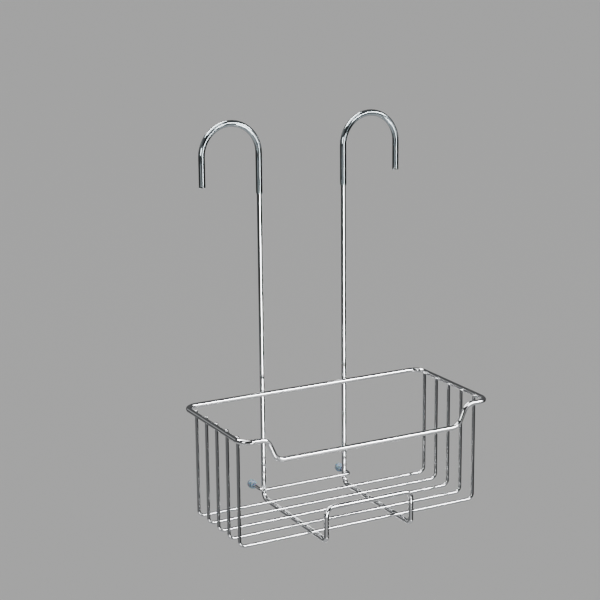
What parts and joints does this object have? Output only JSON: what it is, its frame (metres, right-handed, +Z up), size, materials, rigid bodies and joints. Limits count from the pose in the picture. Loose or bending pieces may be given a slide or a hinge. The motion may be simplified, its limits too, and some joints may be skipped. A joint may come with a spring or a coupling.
{
  "type": "shower caddy",
  "caption": "Chrome-plated wire shower basket with a lowered front rim, hung from two pipes by a bent-wire hanger with sleeved hooks and soft bumpers against the wall.",
  "frame": {"origin": "midway between the two hooks, on the line where the undersides of the hooks' tops bear on the pipes", "axes": "+X to the right as seen from the front, +Y towards the wall behind the caddy, +Z up"},
  "size_m": [0.2518, 0.1455, 0.3589],
  "materials": {
    "frame_chrome": "mirror-bright chrome plate on bent steel wire",
    "rim_chrome": "mirror-bright chrome plate on bent steel wire",
    "basket_chrome": "mirror-bright chrome plate on thin steel wire",
    "clear_sleeve": "clear soft plastic tube with a slight grey-blue tint",
    "blue_bumper": "translucent blue-grey soft plastic"
  },
  "bodies": {
    "root": {"hanger_frame": "frame_chrome", "basket_rim": "rim_chrome", "basket_wire_1": "basket_chrome", "basket_wire_2": "basket_chrome", "basket_wire_3": "basket_chrome", "basket_wire_4": "basket_chrome", "basket_wire_5": "basket_chrome", "rear_stretcher": "basket_chrome", "hook_sleeve_left": "clear_sleeve", "hook_sleeve_right": "clear_sleeve", "wall_bumper_left": "blue_bumper", "wall_bumper_right": "blue_bumper"}
  },
  "joints": []
}
